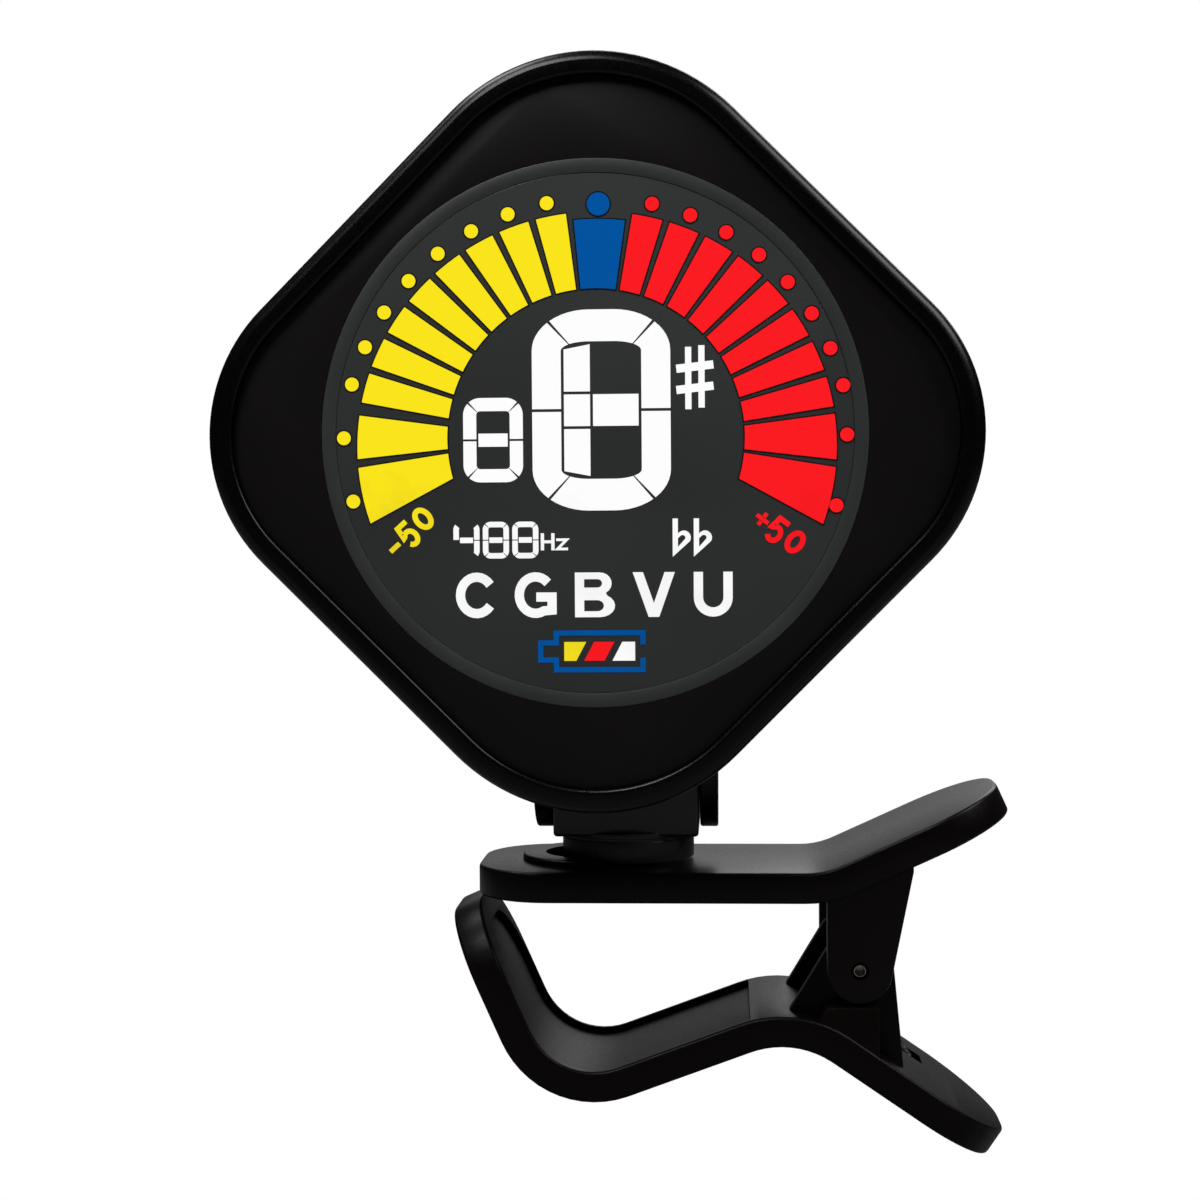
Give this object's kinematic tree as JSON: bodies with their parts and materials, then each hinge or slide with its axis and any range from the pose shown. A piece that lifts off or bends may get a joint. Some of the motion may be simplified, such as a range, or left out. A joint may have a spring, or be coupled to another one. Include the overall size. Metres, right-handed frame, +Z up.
{
  "type": "clip on tuner",
  "caption": "Clip-on instrument tuner: diamond-set rounded display head that tilts and swivels on a sprung headstock clip.",
  "frame": {"origin": "on the clamping face of the upper jaw pad, under the neck's swivel axis", "axes": "+X along the clip from the jaw tip to the squeeze tabs, -Y the way the display faces, +Z up from the clip to the head"},
  "size_m": [0.0626, 0.0257, 0.0878],
  "materials": {
    "case_plastic": "fine satin",
    "arm_plastic": "fine satin",
    "face_plastic": "satin",
    "window_acrylic": "gloss, tinted, printed",
    "lcd_glass": "dark display cell",
    "diffuser": "milky",
    "holder_plastic": "matte",
    "pad_rubber": "matte",
    "steel": "bright",
    "board_laminate": "solder mask",
    "chip_epoxy": "matte",
    "sensor_brass": "satin"
  },
  "bodies": {
    "clip_upper": {"upper_arm": "arm_plastic", "upper_jaw_pad": "pad_rubber", "pivot_pin": "steel", "torsion_spring": "steel", "neck_retaining_ring": "steel"},
    "clip_lower": {"lower_arm": "arm_plastic", "lower_jaw_pad": "pad_rubber"},
    "neck": {"swivel_neck": "arm_plastic"},
    "head": {"front_shell": "case_plastic", "face_panel": "face_plastic", "window_ring": "case_plastic", "display_window": "window_acrylic", "lcd_cell": "lcd_glass", "lcd_diffuser": "diffuser", "lcd_holder": "holder_plastic", "connector_strip_lower": "pad_rubber", "connector_strip_upper": "pad_rubber", "rear_shell": "case_plastic", "case_screw_1": "steel", "case_screw_2": "steel", "case_screw_3": "steel", "case_screw_4": "steel", "coin_cell": "steel", "negative_contact": "steel", "positive_contact": "steel", "main_board": "board_laminate", "control_chip": "chip_epoxy", "crystal": "steel", "power_switch": "chip_epoxy", "mode_switch": "chip_epoxy", "pitch_switch": "chip_epoxy", "piezo_sensor": "sensor_brass", "tilt_pin": "steel"},
    "power_button_body": {"power_button": "pad_rubber"},
    "mode_button_body": {"mode_button": "pad_rubber"},
    "pitch_button_body": {"pitch_button": "pad_rubber"},
    "battery_cap_body": {"battery_cap": "case_plastic"}
  },
  "joints": [
    {"name": "clip_pivot", "type": "hinge", "parent": "clip_upper", "child": "clip_lower", "pos_m": [0.01883, 0, -0.0054], "axis": [0, -1, 0], "range_deg": [0, 30], "stiffness_Nm_per_rad": 0.08, "springref_deg": -68.75, "deforming": ["torsion_spring"]},
    {"name": "neck_swivel", "type": "hinge", "parent": "clip_upper", "child": "neck", "pos_m": [0, 0, 0.0028], "axis": [0, 0, 1], "range_deg": [-180, 180]},
    {"name": "head_tilt", "type": "hinge", "parent": "neck", "child": "head", "pos_m": [0, 0, 0.0104], "axis": [-1, 0, 0], "range_deg": [-15, 90]},
    {"name": "power_press", "type": "slide", "parent": "head", "child": "power_button_body", "axis": [0, -1, 0], "range_m": [0, 0.0005], "stiffness_N_per_m": 900},
    {"name": "mode_press", "type": "slide", "parent": "head", "child": "mode_button_body", "axis": [0, -1, 0], "range_m": [0, 0.0005], "stiffness_N_per_m": 900},
    {"name": "pitch_press", "type": "slide", "parent": "head", "child": "pitch_button_body", "axis": [0, -1, 0], "range_m": [0, 0.0005], "stiffness_N_per_m": 900},
    {"name": "battery_cap_turn", "type": "hinge", "parent": "head", "child": "battery_cap_body", "pos_m": [-0.00168, -0.006, 0.04332], "axis": [0, 1, 0], "range_deg": [0, 45]}
  ]
}
